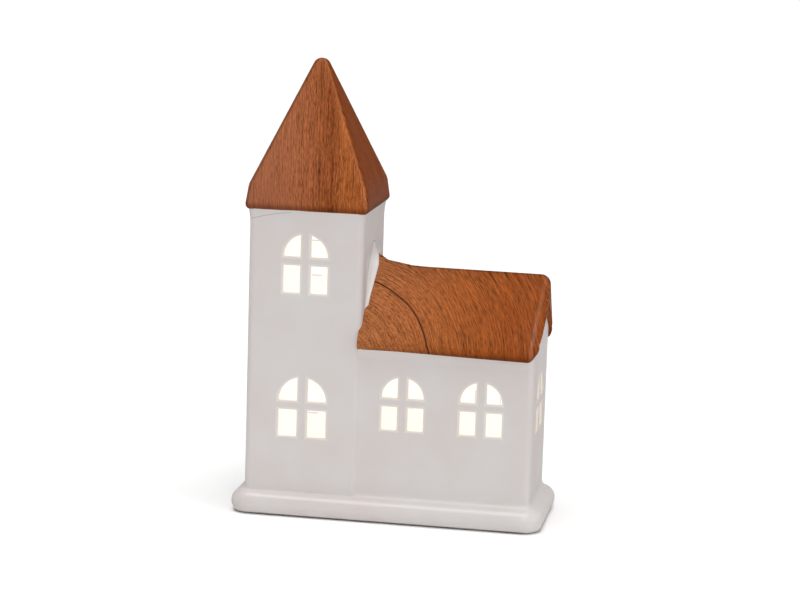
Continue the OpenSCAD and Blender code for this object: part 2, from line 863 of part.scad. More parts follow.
module contact_negative() color([0.78, 0.78, 0.76]) end_contact(1);

// Centre of the coil's wire at a share t of its turns
function coil_centre(t) =
    let (a = 360 * coil_turns * t, r = coil_r0 + (coil_r1 - coil_r0) * t)
    [r * cos(a), r * sin(a), coil_wire_r + (spring_l - 2 * coil_wire_r) * t];

// Points of one ring of the wire at a share t of its turns
function coil_ring(t) =
    let (a = 360 * coil_turns * t, centre = coil_centre(t))
    [for (k = [0:coil_sides - 1])
        let (b = 360 * k / coil_sides)
        centre + coil_wire_r * [cos(b) * cos(a), cos(b) * sin(a), sin(b)]];

// Conical spring as one unbroken tube
module coil() {
    rings = round(coil_turns * coil_steps);
    points = [for (i = [0:rings]) each coil_ring(i / rings)];
    side_faces = [for (i = [0:rings - 1], k = [0:coil_sides - 1])
        let (n = (k + 1) % coil_sides, a = i * coil_sides, b = a + coil_sides)
        each [[a + k, b + k, b + n], [a + k, b + n, a + n]]];
    start_face = [for (k = [0:coil_sides - 1]) k];
    end_face = [for (k = [coil_sides - 1:-1:0]) rings * coil_sides + k];
    spacings = [for (i = [0:rings], j = [i:rings]) if (j >= i + coil_steps / 2)
        norm(coil_centre(i / rings) - coil_centre(j / rings))];
    echo(coil_least_gap = min(spacings) - 2 * coil_wire_r);
    polyhedron(points, concat(side_faces, [start_face, end_face]));
}

// Springs that press on the flat ends of the cells
module contact_springs() color([0.8, 0.8, 0.78]) {
    translate([bay_x0 + contact_t + 2 * close_gap, -cell_pitch / 2, cell_z]) rotate([0, 90, 0]) coil();
    translate([bay_x1 - contact_t - 2 * close_gap, cell_pitch / 2, cell_z]) rotate([0, -90, 0]) coil();
}

// Board with its holes
module circuit_board() color([0.16, 0.36, 0.2]) {
    difference() {
        translate([module_x, 0, board_z]) linear_extrude(board_t) round_rect(board_l, board_w, shell_t / 2);
        for (sy = [-1, 1], x = [module_x - board_l / 2 + post_inset, bay_x1 - post_inset]) {
            board_hole(x, sy * (board_w / 2 - post_inset), peg_r);
        }
        for (x = led_places, s = [-1, 1]) {
            board_hole(x + s * led_lead_pitch / 2, 0, lead_r);
        }
        for (s = [-1, 1]) {
            board_hole(resistor_x + s * (resistor_l / 2 + lead_reach), resistor_y, lead_r);
            span(bay_x1 - contact_t - 2 * slide_gap, bay_x1 + slide_gap,
                s * cell_pitch / 2 - tab_w / 2 - slide_gap, s * cell_pitch / 2 + tab_w / 2 + slide_gap,
                board_z - over, board_z + board_t + over);
        }
        for (i = [-1, 0]) {
            board_hole(switch_x + i * switch_pin_pitch, switch_y, wire_r);
        }
    }
}

// Hole through the board, a little larger than what passes it
module board_hole(x, y, r) {
    translate([x, y, board_z - over]) cylinder(h = board_t + 2 * over, r = r + slide_gap);
}

// Resistor body lying on the board
module resistor() color([0.82, 0.72, 0.52]) {
    z = board_z + board_t + resistor_r + close_gap;
    translate([resistor_x - resistor_l / 2, resistor_y, z]) rotate([0, 90, 0]) {
        cylinder(h = resistor_l, r = resistor_r * resistor_waist_share);
        for (end_z = [0, resistor_l * (1 - resistor_end_share)]) {
            translate([0, 0, end_z]) cylinder(h = resistor_l * resistor_end_share, r = resistor_r);
        }
    }
}

// Leads of the resistor, bent down through the board
module resistor_leads() color([0.75, 0.75, 0.75]) {
    z = board_z + board_t + resistor_r + close_gap;
    for (s = [-1, 1]) {
        translate([resistor_x + s * resistor_l / 2, resistor_y, z]) rotate([0, 90 * s, 0]) {
            cylinder(h = lead_reach, r = lead_r);
        }
        translate([resistor_x + s * (resistor_l / 2 + lead_reach), resistor_y, board_z - lead_drop]) {
            cylinder(h = z - board_z + lead_drop, r = lead_r);
        }
        translate([resistor_x + s * (resistor_l / 2 + lead_reach), resistor_y, z]) sphere(lead_r);
    }
}

// Clear dome of one lamp
module lamp(x) {
    translate([x, 0, led_z]) {
        cylinder(h = led_rim_h, r = led_rim_r);
        cylinder(h = led_h - led_d / 2, r = led_d / 2);
        translate([0, 0, led_h - led_d / 2]) sphere(led_d / 2);
    }
}

module tower_lamp() color([1, 0.93, 0.75]) lamp(led_places[0]);

module nave_lamp() color([1, 0.93, 0.75]) lamp(led_places[1]);

// Leads of both lamps, down through the board
module lamp_leads() color([0.75, 0.75, 0.75]) {
    for (x = led_places, s = [-1, 1]) {
        translate([x + s * led_lead_pitch / 2, 0, board_z - lead_drop]) {
            cylinder(h = led_z - board_z + lead_drop, r = lead_r);
        }
    }
}

// Cones of solder under the board, round each lead and wire
module solder_joints() color([0.7, 0.7, 0.72]) {
    for (x = led_places, s = [-1, 1]) {
        solder(x + s * led_lead_pitch / 2, 0, lead_r, solder_r);
    }
    for (s = [-1, 1]) {
        solder(resistor_x + s * (resistor_l / 2 + lead_reach), resistor_y, lead_r, solder_r);
    }
    for (i = [-1, 0]) {
        translate([0, 0, board_t]) mirror([0, 0, 1]) translate([0, 0, -2 * board_z]) {
            solder(switch_x + i * switch_pin_pitch, switch_y, wire_r, solder_r + wire_r / 2);
        }
    }
}

// One cone of solder with the hole for its lead
module solder(x, y, hole_r, foot_r) {
    translate([x, y, board_z - solder_h]) difference() {
        cylinder(h = solder_h, r1 = hole_r + close_gap, r2 = foot_r);
        translate([0, 0, -over]) cylinder(h = solder_h + 2 * over, r = hole_r);
    }
}

// Switch housing, open below for the knob
module switch_body() color([0.7, 0.7, 0.72]) {
    difference() {
        span(switch_x - switch_l / 2, switch_x + switch_l / 2,
            switch_y - switch_w / 2, switch_y + switch_w / 2, recess_z, recess_z + switch_h);
        span(switch_x - switch_l / 2 + can_t, switch_x + switch_l / 2 - can_t,
            switch_y - switch_w / 2 + can_t, switch_y + switch_w / 2 - can_t,
            recess_z + can_t, recess_z + switch_h - can_t);
        span(switch_x - slot_half, switch_x + slot_half,
            switch_y - knob_w / 2 - slide_gap, switch_y + knob_w / 2 + slide_gap,
            recess_z - over, recess_z + can_t + over);
    }
}

// Slide knob, at the end of its travel nearest the door
module switch_knob() color([0.12, 0.12, 0.13]) {
    x = switch_x - switch_travel / 2;
    seat_z = recess_z + can_t + slide_gap;
    span(x - knob_flange_l / 2, x + knob_flange_l / 2, switch_y - switch_w / 2 + can_t + slide_gap,
        switch_y + switch_w / 2 - can_t - slide_gap, seat_z, seat_z + knob_flange_h);
    span(x - knob_w / 2, x + knob_w / 2, switch_y - knob_w / 2, switch_y + knob_w / 2,
        flange_z - knob_reach, seat_z + knob_flange_h);
}

// Three pins on top of the switch
module switch_pins() color([0.8, 0.75, 0.55]) {
    for (i = [-1:1]) {
        x = switch_x + i * switch_pin_pitch;
        span(x - switch_pin_w / 2, x + switch_pin_w / 2,
            switch_y - switch_pin_t / 2, switch_y + switch_pin_t / 2,
            recess_z + switch_h, recess_z + switch_h + switch_pin_l);
    }
}

// Wires from two of the pins to the board
module switch_wires() color([0.75, 0.12, 0.1]) {
    z0 = recess_z + switch_h + switch_pin_l;
    for (i = [-1, 0]) {
        translate([switch_x + i * switch_pin_pitch, switch_y, z0]) {
            cylinder(h = board_z + board_t + solder_h - z0, r = wire_r);
        }
    }
}

ceramic_house();
tower_roof_film();
nave_roof_film();
foot_pads();
glue_dabs();
module_case();
module_cap();
cap_screws();
battery_door();
cell_cans();
cell_caps();
cell_sleeves();
contact_bridge();
contact_positive();
contact_negative();
contact_springs();
circuit_board();
resistor();
resistor_leads();
tower_lamp();
nave_lamp();
lamp_leads();
solder_joints();
switch_body();
switch_knob();
switch_pins();
switch_wires();
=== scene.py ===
import math

import bmesh
import bpy
import numpy as np
from mathutils import Matrix, Vector


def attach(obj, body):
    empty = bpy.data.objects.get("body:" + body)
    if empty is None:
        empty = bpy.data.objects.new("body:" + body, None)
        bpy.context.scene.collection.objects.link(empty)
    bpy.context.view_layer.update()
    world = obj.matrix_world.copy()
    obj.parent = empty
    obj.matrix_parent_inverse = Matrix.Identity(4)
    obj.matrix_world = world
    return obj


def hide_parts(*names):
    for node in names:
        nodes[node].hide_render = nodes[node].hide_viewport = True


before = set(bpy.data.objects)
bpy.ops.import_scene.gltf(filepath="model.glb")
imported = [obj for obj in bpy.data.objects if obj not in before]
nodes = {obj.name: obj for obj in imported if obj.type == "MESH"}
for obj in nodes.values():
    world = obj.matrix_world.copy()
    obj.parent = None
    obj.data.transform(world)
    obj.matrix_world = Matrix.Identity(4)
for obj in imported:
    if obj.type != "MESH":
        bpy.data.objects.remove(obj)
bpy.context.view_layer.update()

mm = 0.001
print("frame loaded:", len(nodes), "nodes")

# where the photograph was taken from: pixels of a picture of that width, degrees and metres; the sensor is in mm
shot = {
    "width": 800,
    "focal": 2548.9,
    "azimuth": 9.94,
    "elevation": 10.1,
    "roll": -1.77,
    "distance": 1.2384,
    "target": (-0.0010, 0.0, 0.1035),
    "shift": (0.0017, 0.0014),
    "sensor": 36,
    "clip": (0.01, 20),
}


def makeCamera(shot):
    # back = (sin a cos e, -cos a cos e, sin e); right and up are turned about it by the roll
    a, e, r = (math.radians(shot[key]) for key in ("azimuth", "elevation", "roll"))
    back = Vector((math.sin(a) * math.cos(e), -math.cos(a) * math.cos(e), math.sin(e)))
    right = Vector((math.cos(a), math.sin(a), 0))
    up = back.cross(right)
    side = right * math.cos(r) - up * math.sin(r)
    top = right * math.sin(r) + up * math.cos(r)
    data = bpy.data.cameras.new("camera")
    data.sensor_width = shot["sensor"]
    data.lens = shot["focal"] * shot["sensor"] / shot["width"]
    data.shift_x, data.shift_y = shot["shift"]
    data.clip_start, data.clip_end = shot["clip"]
    camera = bpy.data.objects.new("camera", data)
    place = Matrix((side, top, back)).transposed().to_4x4()
    place.translation = Vector(shot["target"]) + back * shot["distance"]
    camera.matrix_world = place
    bpy.context.scene.collection.objects.link(camera)
    bpy.context.scene.camera = camera


makeCamera(shot)
print("camera set")

# sizes of the house that the skins and patterns follow, in mm, as in the part's source
house = {
    "towerX": -41.85, "towerFace": -13.95, "towerHalf": (27.9, 27.8), "cornerR": 3.0,
    "gable": 69.75, "naveHalf": 26.7, "wall": 3.5, "floor": 7.8,
    "spireEave": 148.6, "spireOver": 2.1, "lipR": 2.6, "shoulderIn": 0.7, "shoulderR": 5.0, "shoulderH": 10.3,
    "tipR": 4.5, "top": 220.0,
    "naveEave": 82.5, "eaveOver": 4.0, "eaveR": 3.6, "eaveLift": 1.3, "ridge": 121.3, "ridgeR": 4.84,
    "ridgeDrop": 0.4, "vergeOver": 3.2, "vergeDraw": 3.3, "bendUp": 0.13, "bendShare": 0.27,
    "gableTop": 107.5, "gableFoot": 90.0, "sweepL": 19.0, "sweepH": 5.6, "sweepPlace": 0.29, "sweepRise": 0.27,
    "lap": 1.3, "film": 0.3,
}


class Wire:
    # a socket of a material's tree; sums and products of numbers add Math nodes
    def __init__(self, tree, socket=None):
        self.tree = tree
        self.socket = socket

    def add(self, kind, settings=None, sockets=None, out=0):
        # one node: its settings first, then its sockets' values or links; gives one of its outputs
        node = self.tree.nodes.new(kind)
        for name, value in (settings or {}).items():
            if name == "stops":
                ramp = node.color_ramp.elements
                while len(ramp) < len(value):
                    ramp.new(0.5)
                for stop, (place, colour) in zip(ramp, value):
                    stop.position = place
                    stop.color = (*colour, 1)
            else:
                setattr(node, name, value)
        for key, value in (sockets or {}).items():
            if isinstance(value, Wire):
                self.tree.links.new(value.socket, node.inputs[key])
            else:
                node.inputs[key].default_value = value
        return Wire(self.tree, node.outputs[out] if len(node.outputs) else None)

    def math(self, operation, *values):
        # one Math node
        return self.add("ShaderNodeMath", {"operation": operation}, dict(enumerate(values)))

    def __add__(self, other):
        return self.math("ADD", self, other)

    def __radd__(self, other):
        return self.math("ADD", other, self)

    def __sub__(self, other):
        return self.math("SUBTRACT", self, other)

    def __rsub__(self, other):
        return self.math("SUBTRACT", other, self)

    def __mul__(self, other):
        return self.math("MULTIPLY", self, other)

    def __rmul__(self, other):
        return self.math("MULTIPLY", other, self)

    def __neg__(self):
        return self.math("MULTIPLY", self, -1.0)

    def __abs__(self):
        return self.math("ABSOLUTE", self)

    def sqrt(self):
        return self.math("SQRT", self)

    def lower(self, other):
        # the lower of two numbers
        return self.math("MINIMUM", self, other)

    def higher(self, other):
        # the higher of two numbers
        return self.math("MAXIMUM", self, other)

    def step(self, low, high):
        # smooth rise from 0 at low to 1 at high
        return self.add("ShaderNodeMapRange", {"interpolation_type": "SMOOTHSTEP"},
                        {"Value": self, "From Min": low, "From Max": high})

    def line(self, place, width):
        # 1 on a line at that place, falling to 0 over its width
        return 1 - abs(self - place).step(width * 0.3, width)

    def parts(self):
        # x, y and z of a vector
        split = self.add("ShaderNodeSeparateXYZ", None, {"Vector": self})
        return [Wire(self.tree, socket) for socket in split.socket.node.outputs]

    def join(self, x, y, z):
        # vector of three numbers
        return self.add("ShaderNodeCombineXYZ", None, {"X": x, "Y": y, "Z": z})

    def noise(self, vector, scale=1.0, detail=2.0, roughness=0.5):
        # soft random value of about 0 to 1, 0.5 on average
        return self.add("ShaderNodeTexNoise", None,
                        {"Vector": vector, "Scale": scale, "Detail": detail, "Roughness": roughness})

    def mix(self, factor, first, second, blend="MIX"):
        # colours, mixed by a number
        return self.add("ShaderNodeMix", {"data_type": "RGBA", "blend_type": blend},
                        {0: factor, 6: first, 7: second}, out=2)

    def place(self):
        # object coordinates in mm
        where = self.add("ShaderNodeTexCoord", None, None, out=3)
        return self.add("ShaderNodeVectorMath", {"operation": "SCALE"}, {"Vector": where, "Scale": 1 / mm})

    def bump(self, height, distance, strength=1.0, normal=None):
        # normal tilted by a height's slope, from the plain normal or from the given one
        sockets = {"Height": height, "Distance": distance, "Strength": strength}
        if normal is not None:
            sockets["Normal"] = normal
        return self.add("ShaderNodeBump", None, sockets)


def startMaterial(name):
    # empty material and the wire that adds its nodes
    material = bpy.data.materials.new(name)
    material.use_nodes = True
    material.node_tree.nodes.clear()
    return material, Wire(material.node_tree)


def finishMaterial(wire, **sockets):
    # one Principled BSDF with those sockets; underscores stand for spaces
    shader = wire.add("ShaderNodeBsdfPrincipled", None,
                      {key.replace("_", " "): value for key, value in sockets.items()})
    wire.add("ShaderNodeOutputMaterial", None, {"Surface": shader})


# the windows: middle, whether they look along Y (front and back) or X (gable), width, sill, height of the panes
windows = [
    (house["towerX"], True, 21.8, 109.3, 13.4),
    (house["towerX"], True, 23.7, 39.0, 13.4),
    (6.95, True, 20.6, 45.2, 11.6),
    (44.95, True, 20.6, 45.2, 11.6),
    (0.0, False, 23.0, 45.2, 11.6),
]
bars = {"upright": 4.9, "level": 4.1}

glaze = {
    "colour": (0.600, 0.550, 0.535, 1),
    "thick": (0.612, 0.582, 0.572, 1),
    "thin": (0.55, 0.49, 0.465, 1),
    "thinShare": 0.3,
    "cloudScale": 0.035,
    "speckScale": 1.1,
    "roughness": 0.35,
    "speckRoughness": 0.08,
    "coat": 0.65,
    "coatRoughness": 0.09,
    "coatFacing": (0.15, 0.75),
    "softEdge": 0.9 * mm,
    "waveScale": 0.09,
    "waveHeight": 0.5 * mm,
    "waveStrength": 0.35,
    # painted highlight beside the nave's roof: colour, where it fades off the tower's face, in height and to the
    # sides
    "paintedHighlight": (0.74, 0.715, 0.70, 1),
    "highlightAcross": (7, 1),
    "highlightLow": (96, 108),
    "highlightHigh": (123, 130),
    "highlightSide": (14, 22),
    # painted glow inside, standing in for the lamps' light: its colour and its reach into the wall's face, and the
    # painted halo round the panes
    "glow": (0.46, 0.45, 0.425, 1),
    "glowReach": (0.3, 2.5),
    "halo": (0.17, 0.155, 0.10, 1),
    "haloReach": (-0.3, 1.3),
    "frontDepth": 20,
    "gableDepth": 60,
    # hairline from one point (x, z) to another, its sag, half width, fading ends and the front that it lies on
    "crack": ((-69.1, 144.0), (-49.1, 148.1)),
    "crackSag": 2.6,
    "crackWidth": (0.05, 0.22),
    "crackEnds": ((-0.02, 0.05), (1.06, 0.9)),
    "crackFront": (-26, -27),
    "crackColour": (0.12, 0.11, 0.10, 1),
    "crackStrength": 0.55,
}
# sloping planes of the hollow inside: across * first + (z - level) * second = limit, as (first, second, level, limit)
hollow = {
    "spireSide": (0.918, 0.396, 158.9, 23.5),
    "spireFront": (0.918, 0.396, 158.9, 23.4),
    "roof": (0.8347, 0.5507, 82.5, 19.91),
    "roofTop": 114,
}


def paneGap(across, z, width, sill, paneHeight):
    # distance in mm outside the nearest pane: two rectangles under two quarter circles, on both sides of the bar
    across = abs(across)
    side = bars["upright"] / 2 - across
    foot = sill + paneHeight + bars["level"]
    square = side.higher(across - width / 2).higher(sill - z).higher(z - (sill + paneHeight))
    rise = z - foot
    arch = side.higher(-rise).higher((across * across + rise * rise).sqrt() - width / 2)
    return square.lower(arch)


def pastSlope(across, z, plane):
    # distance outside a sloping plane of the hollow: across * first + (z - level) * second - limit
    first, second, level, limit = plane
    return abs(across) * first + (z - level) * second - limit


def glazeMaterial(name, look):
    # white glaze, cloudy where it lies thick, softened over its edges, with a painted highlight in the hollow beside
    # the nave's roof; inside, a painted glow stands in for the lamps' light, and a fainter painted halo rims the
    # edges of the panes
    material, w = startMaterial(name)
    place = w.place()
    x, y, z = place.parts()
    cloud = w.noise(place, look["cloudScale"], 3)
    speck = w.noise(place, look["speckScale"], 2, 0.6)
    colour = w.mix(cloud.step(0.3, 0.7), look["colour"], look["thick"])
    colour = w.mix(speck.step(0.68, 0.76) * look["thinShare"], colour, look["thin"])
    # painted highlight: the glaze is lighter in the hollow between the nave's roof and the tower
    beside = abs(x - house["towerFace"]).step(*look["highlightAcross"]) * z.step(*look["highlightLow"])
    beside = beside * (1 - z.step(*look["highlightHigh"])) * (1 - abs(y).step(*look["highlightSide"]))
    colour = w.mix(beside, colour, look["paintedHighlight"])
    # hairline in the glaze under the tower's roof: sag * share * (1 - share) off the line between its ends
    (x0, z0), (x1, z1) = look["crack"]
    along = (x - x0) * (1 / (x1 - x0))
    sag = z - (z0 + (z1 - z0) * along) - look["crackSag"] * along * (1 - along)
    start, end = look["crackEnds"]
    hair = (1 - abs(sag).step(*look["crackWidth"])) * y.step(*look["crackFront"])
    hair = hair * along.step(*start) * along.step(*end)
    colour = w.mix(hair * look["crackStrength"], colour, look["crackColour"])
    # distance outside the hollow: the largest of the distances past its planes
    halfX, halfY = (half - house["wall"] for half in house["towerHalf"])
    inTower = (abs(x - house["towerX"]) - halfX).higher(abs(y) - halfY)
    inTower = inTower.higher(pastSlope(x - house["towerX"], z, hollow["spireSide"]))
    inTower = inTower.higher(pastSlope(y, z, hollow["spireFront"]))
    inNave = (abs(y) - (house["naveHalf"] - house["wall"])).higher(x - (house["gable"] - house["wall"]))
    inNave = inNave.higher(house["towerX"] - x).higher(pastSlope(y, z, hollow["roof"])).higher(z - hollow["roofTop"])
    # painted glow: the faces inside the hollow emit light, standing in for the lamps' light falling on them
    lit = 1 - inTower.lower(inNave).higher(house["floor"] - z).step(*look["glowReach"])
    # distance outside the nearest pane, near the outer faces only
    gap = None
    for middle, level, *size in windows:
        across, depth = (x - middle, look["frontDepth"] - abs(y)) if level else (y - middle, look["gableDepth"] - x)
        pane = paneGap(across, z, *size).higher(depth)
        gap = gap.lower(pane) if gap is not None else pane
    # painted halo: the outer faces at the edges of the panes emit a little light
    halo = 1 - gap.step(*look["haloReach"])
    soft = w.add("ShaderNodeBevel", {"samples": 6}, {"Radius": look["softEdge"]})
    normal = w.bump(w.noise(place, look["waveScale"], 1), look["waveHeight"], look["waveStrength"], soft)
    glow = w.mix(lit, w.mix(halo, (0, 0, 0, 1), look["halo"]), look["glow"])
    # the gloss is held back where the surface is seen edge-on
    facing = w.add("ShaderNodeLayerWeight", None, {"Blend": 0.5}, out=1)
    finishMaterial(w, Base_Color=colour, Roughness=look["roughness"] + speck.step(0.3, 0.8) * look["speckRoughness"],
                   Normal=normal, Specular_IOR_Level=0.0,
                   Coat_Weight=look["coat"] * (1 - facing.step(*look["coatFacing"])),
                   Coat_Roughness=look["coatRoughness"], Emission_Color=glow, Emission_Strength=1.0)
    return material


film = {
    # colours of the print along the spire's width and along the nave, with their places in mm
    "spireColours": ((-70, (0.307, 0.107, 0.053)), (-48, (0.318, 0.104, 0.044)), (-37, (0.292, 0.086, 0.029)),
                     (-30, (0.228, 0.060, 0.017)), (-24, (0.320, 0.092, 0.024)), (0, (0.305, 0.080, 0.020))),
    "naveColours": ((-16, (0.350, 0.122, 0.042)), (5, (0.325, 0.102, 0.031)), (30, (0.292, 0.080, 0.018)),
                    (55, (0.258, 0.062, 0.011)), (73, (0.250, 0.062, 0.014))),
    # painted shade of the spire's side towards the nave and at the feet, the print's flecks, painted highlight along
    # edges, the print's dark lines
    "shaded": (0.62, 0.54, 0.38, 1),
    "foot": (0.42, 0.34, 0.28, 1),
    "fleck": (0.50, 0.36, 0.26, 1),
    "fleckShare": 0.5,
    "worn": (0.62, 0.33, 0.20, 1),
    "glintShare": 0.07,
    "line": (0.060, 0.018, 0.006, 1),
    "roughness": 0.5,
    "grainRoughness": 0.12,
    "grainHeight": 0.05 * mm,
    "grain": 2.3,
    "streaks": 2.7,
    # noises of the fine grain, the streaks and the flecks: scale across and along, place, detail, roughness
    "noises": ((2.5, 0.33, 0, 2, 0.6), (1.9, 0.045, 0, 3, 0.7), (2.4, 0.12, 3.3, 2, 0.6)),
    # a line fainter than this is broken by the flecks
    "solidLine": 0.85,
    # spire: lean of the grain about a height, how far the back's and the sides' prints are moved along the pattern,
    # scales and height of its sway, dark lines as (place, strength) with their width, painted shade at the foot, the
    # arrises' width and their painted shade away from the nave, contrast
    "lean": 0.09,
    "leanZ": 150,
    "backShift": 150,
    "sideShift": 60,
    "swayScale": (0.03, 0.05),
    "sway": 5,
    "hearts": ((-34.9, 0.6), (-28.8, 0.6), (-37.4, 0.3), (-26.4, 0.3)),
    "heartWidth": 0.6,
    "spireFootShade": (149.9, 153.0),
    "arrisWidth": 1.5,
    "arrisShade": 0.35,
    "contrast": ((-64, -30), 0.5, 0.55),
    "shadedFrom": (0.2, 2.2),
    # nave: centre of the rings in the slope's plane, the slope's level and sine, sway and length of the rings, dark
    # lines as (radius, width, strength), painted shade under the eave with its fade along x, ridge and crest, and the
    # verge's line of painted highlight
    "arcCentre": (-34.5, -15.7),
    "slope": (88.41, 0.766),
    "arcSway": 2.5,
    "arcRun": 60,
    "arcs": ((55.3, 0.62, 1.0), (57.3, 0.35, 0.6), (36.0, 0.4, 0.6), (30.3, 0.4, 0.6), (33.0, 0.3, 0.4),
             (41.0, 0.3, 0.35), (73.0, 0.4, 0.3), (75.4, 0.3, 0.25), (91.0, 0.4, 0.25), (105.0, 0.4, 0.3)),
    "naveFootShade": (83.6, 86.8),
    "footShadeFade": ((-14, 30), 0.4, 0.6),
    "ridge": ((113, 121), 0.14),
    "crest": ((0.8, 2.6), 0.3),
    "verge": (71.0, 0.098, 1.2),
}


def woodMaterial(name, look, curved):
    # printed wood: streaks long in the grain's direction, which runs up the spire and in rings over the nave
    material, w = startMaterial(name)
    place = w.place()
    x, y, z = place.parts()
    if curved:
        # ring coordinates: distance and angle about the rings' centre in the slope's plane
        along = x - look["arcCentre"][0]
        up = (z - look["slope"][0]) * (1 / look["slope"][1]) - look["arcCentre"][1]
        slow = w.noise(place, 0.03, 2)
        across = (along * along + up * up).sqrt() + (slow - 0.5) * look["arcSway"]
        run = w.math("ARCTAN2", up, along) * look["arcRun"]
        stops, position = look["naveColours"], x
        # painted shade under the eave, deeper towards the gable
        fade, least, rise = look["footShadeFade"]
        foot = (1 - z.step(*look["naveFootShade"])) * (x.step(*fade) * rise + least)
        # line of painted highlight along the verge
        where, draw, wide = look["verge"]
        edge = (x + abs(y) * draw).line(where, wide)
        (ridge, ridgeShade), (crest, crestShade) = look["ridge"], look["crest"]
        shade = z.step(*ridge) * ridgeShade + (1 - abs(y).step(*crest)) * crestShade
        contrast = 1.0
    else:
        # each face has its own upright grain: along x at the front and the back, along y at the sides
        aside = x - house["towerX"]
        side = (abs(aside) - abs(y)).step(-0.05, 0.05)
        level = x - y.step(-0.1, 0.1) * look["backShift"]
        turned = w.math("SIGN", aside) * (y + look["sideShift"]) + house["towerX"]
        wrapped = level + side * (turned - level)
        acrossScale, upScale = look["swayScale"]
        sway = (w.noise(w.join(wrapped * acrossScale, 0, z * upScale), 1, 3) - 0.5) * look["sway"]
        across = wrapped + (z - look["leanZ"]) * look["lean"] + sway * 0.5
        run = z
        stops, position = look["spireColours"], across
        # painted shade under the spire's lip
        foot = 1 - z.step(*look["spireFootShade"])
        # painted highlight on the arrises towards the nave, painted shade on the others
        arris = (abs(aside) - abs(y)).line(0, look["arrisWidth"])
        edge = arris * aside.step(-1, 1)
        shade = (arris - edge) * look["arrisShade"]
        fade, least, rise = look["contrast"]
        contrast = position.step(*fade) * rise + least
    first, last = stops[0][0], stops[-1][0]
    ramp = [((at - first) / (last - first), colour) for at, colour in stops]
    colour = w.add("ShaderNodeValToRGB", {"stops": ramp}, {"Fac": (position - first) * (1 / (last - first))})
    fine, streak, fleck = (w.noise(w.join(across * wide, run * long, at), 1, detail, rough)
                           for wide, long, at, detail, rough in look["noises"])
    grain = 1 + ((fine - 0.5) * look["grain"] + (streak - 0.5) * look["streaks"]) * contrast - shade
    colour = w.mix(1.0, colour, w.join(grain, grain, grain), "MULTIPLY")
    colour = w.mix(fleck.step(0.56, 0.68) * contrast * look["fleckShare"], colour, look["fleck"], "MULTIPLY")
    # painted highlight: lighter along the spire's arrises towards the nave and along the nave's verge
    colour = w.mix(edge * look["glintShare"], colour, look["worn"])
    broken = fleck.step(0.36, 0.56)
    if curved:
        marks = [(across.line(r, wide), strength) for r, wide, strength in look["arcs"]]
    else:
        ragged = (fine - 0.5) * 1.6 + (w.noise(w.join(0, 0, z * 0.16), 1, 2) - 0.5) * 3
        marks = [((across + sway * (0.25 * i) + ragged).line(at, look["heartWidth"]), strength)
                 for i, (at, strength) in enumerate(look["hearts"])]
    for mark, strength in marks:
        colour = w.mix(mark * (strength * (broken if strength < look["solidLine"] else 1.0)), colour, look["line"])
    # painted shade at the feet, broken up by the grain
    patchy = (fine - 0.5) * 1.2 + 0.75
    colour = w.mix(foot * patchy, colour, look["foot"], "MULTIPLY")
    if not curved:
        # painted shade: the spire's side towards the nave is darker
        colour = w.mix((aside - abs(y)).step(*look["shadedFrom"]), colour, look["shaded"], "MULTIPLY")
    normal = w.bump(fine * 0.6 + streak * 0.4, look["grainHeight"], 0.5)
    finishMaterial(w, Base_Color=colour,
                   Roughness=look["roughness"] + fine.step(0.3, 0.8) * look["grainRoughness"],
                   Normal=normal, Specular_IOR_Level=0.02, Coat_Weight=0.02 + edge * 0.35, Coat_Roughness=0.3)
    return material


# one row for each plain finish: colour, second colour, roughness, metallic, grain size in mm, grain height in mm
finishes = {
    "padSoft": ((0.70, 0.70, 0.68), (0.60, 0.60, 0.58), 0.55, 0, 0.5, 0.02),
    "glueMilky": ((0.72, 0.69, 0.60), (0.62, 0.58, 0.47), 0.3, 0, 1.5, 0.1),
    "modulePlastic": ((0.74, 0.72, 0.68), (0.70, 0.68, 0.63), 0.5, 0, 0.35, 0.015),
    "plated": ((0.62, 0.62, 0.64), (0.45, 0.45, 0.47), 0.28, 1, 0.4, 0.006),
    "cellCap": ((0.66, 0.64, 0.56), (0.55, 0.53, 0.45), 0.25, 1, 0.3, 0.004),
    "cellSleeve": ((0.03, 0.12, 0.09), (0.02, 0.09, 0.07), 0.22, 0, 3.0, 0.01),
    "boardGreen": ((0.02, 0.13, 0.05), (0.03, 0.19, 0.08), 0.3, 0, 0.8, 0.01),
    "resistorBody": ((0.62, 0.46, 0.25), (0.54, 0.39, 0.20), 0.35, 0, 0.6, 0.01),
    "tinned": ((0.66, 0.66, 0.66), (0.50, 0.50, 0.50), 0.32, 1, 0.3, 0.01),
    "knobBlack": ((0.015, 0.015, 0.017), (0.03, 0.03, 0.032), 0.5, 0, 0.3, 0.01),
    "pinBrass": ((0.66, 0.55, 0.30), (0.5, 0.4, 0.2), 0.3, 1, 0.3, 0.005),
    "wireRed": ((0.40, 0.02, 0.015), (0.33, 0.016, 0.012), 0.35, 0, 0.5, 0.008),
}


def plainMaterial(name, row):
    # two close colours in soft patches, with a fine grain in the bump and in the roughness
    first, second, roughness, metallic, size, height = row
    material, w = startMaterial(name)
    place = w.place()
    patch = w.noise(place, 0.3 / size, 2)
    grain = w.noise(place, 1 / size, 3, 0.6)
    finishMaterial(w, Base_Color=w.mix(patch.step(0.35, 0.65), (*first, 1), (*second, 1)),
                   Roughness=roughness + (grain - 0.5) * 0.16, Metallic=metallic,
                   Normal=w.bump(grain, height * mm, 0.8))
    return material


# the lamps' domes: colours at the foot and above, glow at the foot and above, between those heights in mm
lens = {
    "colours": ((0.75, 0.62, 0.38, 1), (1, 0.92, 0.75, 1)),
    "glows": ((0.9, 0.55, 0.22, 1), (1, 0.85, 0.6, 1)),
    "heights": (21, 25),
    "strength": 6.0,
    "roughness": 0.15,
}


